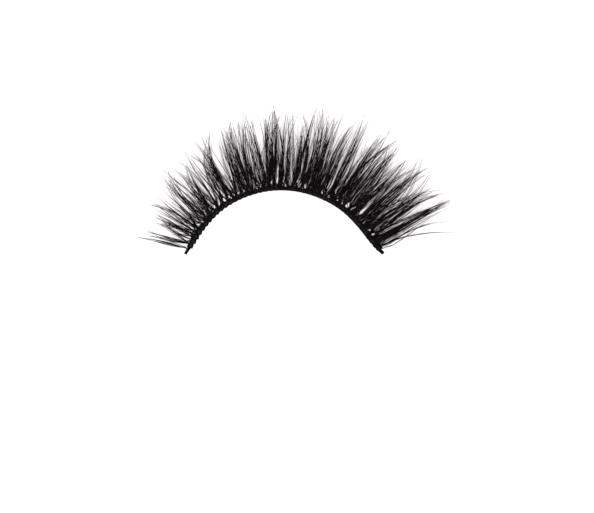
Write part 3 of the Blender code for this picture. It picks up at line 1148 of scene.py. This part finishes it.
def thread_tree():
    """Threads round a straight core, bent round the band."""
    graph, size = new_tree("wound_thread", THREAD_SIZES)
    node = graph.node
    lines = node("GeometryNodeMeshToCurve", {}, {"Mesh": size["Geometry"]})
    x, y, z = node("GeometryNodeInputPosition", {}, {}).parts()
    angle = named(graph, "turned", "FLOAT")
    across = y + angle.cosine() * named(graph, "half_width", "FLOAT")
    height = z + angle.sine() * named(graph, "half_height", "FLOAT")
    place = bend_round_band(graph, size["Ruler"], x, across, height)
    threads = node("GeometryNodeSetPosition", {}, {"Geometry": lines, "Position": place})
    threads = node("GeometryNodeSetCurveNormal", {"mode": "MINIMUM_TWIST"}, {"Curve": threads})
    wanted = {"Resolution": size["Sides"], "Radius": 1.0}
    ring = node("GeometryNodeCurvePrimitiveCircle", {"mode": "RADIUS"}, wanted)
    thick = named(graph, "thick", "FLOAT")
    tubes = {"Curve": threads, "Profile Curve": ring, "Scale": thick * 0.5, "Fill Caps": True}
    mesh = node("GeometryNodeCurveToMesh", {}, tubes)
    mesh = node("GeometryNodeSetShadeSmooth", {}, {"Geometry": mesh})
    return end_tree(graph, mesh, size["Finish"])


wound_thread = thread_tree()
print("nodes in the thread tree:", len(wound_thread.nodes))


def thread_line(first, last, turns, start, points, sizes_at):
    """A straight line of points and what the thread tree reads there.

    sizes_at gives the line's place and height at a station, and the thread's sizes.
    """
    line = []
    facts = []
    for point in range(points):
        share = point / (points - 1)
        station = first + (last - first) * share
        middle, height, *sizes = sizes_at(station)
        line.append((station * BAND_LENGTH, middle, height))
        facts.append((start + math.tau * turns * share, *sizes))
    return line, facts


def wind(name, threads, sides):
    """Makes a piece of threads. Each is a line and its facts."""
    facts = {}
    for column, fact in enumerate(("turned", "half_width", "half_height", "thick")):
        facts[fact] = [values[column] for line, rows in threads for values in rows]
    source = mesh_lines(f"{name}_lines", [line for line, rows in threads], facts)
    made = grow(name, source, wound_thread, {"Ruler": ruler, "Finish": thread_finish, "Sides": sides})
    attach(made, "root")


# %% [markdown]
# Four threads lie side by side in the winding, which makes its turns slant over the band.

# %% Winding
THREADS = 4
THREAD_SIDES = 6
TURNS_PER_KNOT = 1.25
POINTS_PER_TURN = 14
BARE_ENDS = 0.004
THREAD_THICKNESS = 0.125 * MM
THREAD_SINK = 0.035 * MM


def winding_sizes(station):
    """The winding lies on the body, half sunk in its glue."""
    inner, outer = body_sides(station)
    half_width = (outer - inner) / 2 - THREAD_SINK
    half_height = BODY_HEIGHT / 2 - THREAD_THICKNESS / 2
    return (inner + outer) / 2, BODY_HEIGHT / 2, half_width, half_height, THREAD_THICKNESS


first_turn = INNER_TAIL + BARE_ENDS
last_turn = OUTER_TAIL - BARE_ENDS
turns = (last_turn - first_turn) * KNOTS * TURNS_PER_KNOT
points = int(turns * POINTS_PER_TURN)
winding_threads = []
for thread in range(THREADS):
    start = math.tau * thread / THREADS
    winding_threads.append(thread_line(first_turn, last_turn, turns, start, points, winding_sizes))
wind("winding", winding_threads, THREAD_SIDES)

# %% [markdown]
# The cord's own three plies show at both ends, where the band was cut off square.

# %% Cord ends
PLIES = 3
PLY_SIDES = 10
CORD_POINTS = 22
CORD_TURNS = 1.3
CORD_SUNK = 0.012
PLY_THICKNESS = 0.215 * MM
PLY_RISE = 0.045 * MM

# where each bare end starts and stops, and how wide it is
CORD_ENDS = (
    (0.0, INNER_TAIL + CORD_SUNK, 0.44 * MM),
    (OUTER_TAIL - CORD_SUNK, 1.0, 0.50 * MM),
)


def cord_sizes(width):
    """The plies lie flattened side by side, as wide as the bare cord."""
    half_width = (width - PLY_THICKNESS) / 2
    return lambda station: (width / 2, PLY_THICKNESS / 2 + PLY_RISE, half_width, PLY_RISE, PLY_THICKNESS)


cord_threads = []
for first, last, width in CORD_ENDS:
    for ply in range(PLIES):
        start = math.tau * ply / PLIES
        cord_threads.append(thread_line(first, last, CORD_TURNS, start, CORD_POINTS, cord_sizes(width)))
wind("cord_ends", cord_threads, PLY_SIDES)

# %% [markdown]
# ## Drops of glue
#
# Where a tuft leaves the band, a drop of glue holds the roots together. One ball is enough for all of
# them: it is instanced on a row of points, and each point carries the way it heads.

# %% Drop tree
DROP_SIZES = {"Ruler": "Object", "Finish": "Material", "Seed": "Int", "Half lengths": "Vector"}
DROP_UNEVEN = {"Min": (0.75,) * 3, "Max": (1.20,) * 3}


def drop_tree():
    """A ball on every point of the straight drawing, stretched and turned as the point says."""
    graph, size = new_tree("drops_in_a_row", DROP_SIZES)
    node = graph.node
    dots = node("GeometryNodeMeshToPoints", {}, {"Mesh": size["Geometry"]})
    x, y, z = node("GeometryNodeInputPosition", {}, {}).parts()
    place = bend_round_band(graph, size["Ruler"], x, y, z)
    dots = node("GeometryNodeSetPosition", {}, {"Geometry": dots, "Position": place})
    ball = node("GeometryNodeMeshIcoSphere", {}, {"Radius": 1.0, "Subdivisions": 2})
    wanted = DROP_UNEVEN | {"Seed": size["Seed"]}
    uneven = node("FunctionNodeRandomValue", {"data_type": "FLOAT_VECTOR"}, wanted)
    heading = graph.vector(0.0, 0.0, named(graph, "heading", "FLOAT"))
    turn = node("FunctionNodeEulerToRotation", {}, {"Euler": heading})
    balls = node("GeometryNodeInstanceOnPoints", {}, {
        "Points": dots,
        "Instance": ball,
        "Rotation": turn,
        "Scale": size["Half lengths"] * uneven,
    })
    balls = node("GeometryNodeRealizeInstances", {}, {"Geometry": balls})
    balls = node("GeometryNodeSetShadeSmooth", {}, {"Geometry": balls})
    return end_tree(graph, balls, size["Finish"])


drops_in_a_row = drop_tree()
print("nodes in the drop tree:", len(drops_in_a_row.nodes))

# %% [markdown]
# One drop sits at each knot, at the outer side of the band, and is turned the way the hairs point there.
# After the last piece that needs it, the ruler is taken away.

# %% Drops
DROP_OUT = 0.20 * MM
DROP_HEIGHT = 0.22 * MM
DROP_HALF_LENGTHS = (0.16 * MM, 0.17 * MM, 0.13 * MM)

dots = []
headings = []
for knot in range(1, KNOTS + 1):
    station = knot / KNOTS
    if INNER_TAIL < station < OUTER_TAIL:
        dots.append((station * BAND_LENGTH, shape_at(station).width * MM + DROP_OUT, DROP_HEIGHT))
        headings.append(-math.radians(shape_at(station).fan))
drop_dots = mesh_lines("drop_dots", [[dot] for dot in dots], {"heading": headings})
drops = grow("glue_drops", drop_dots, drops_in_a_row, {
    "Ruler": ruler,
    "Finish": band_finish,
    "Seed": 3,
    "Half lengths": DROP_HALF_LENGTHS,
})
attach(drops, "root")
bpy.data.objects.remove(ruler)
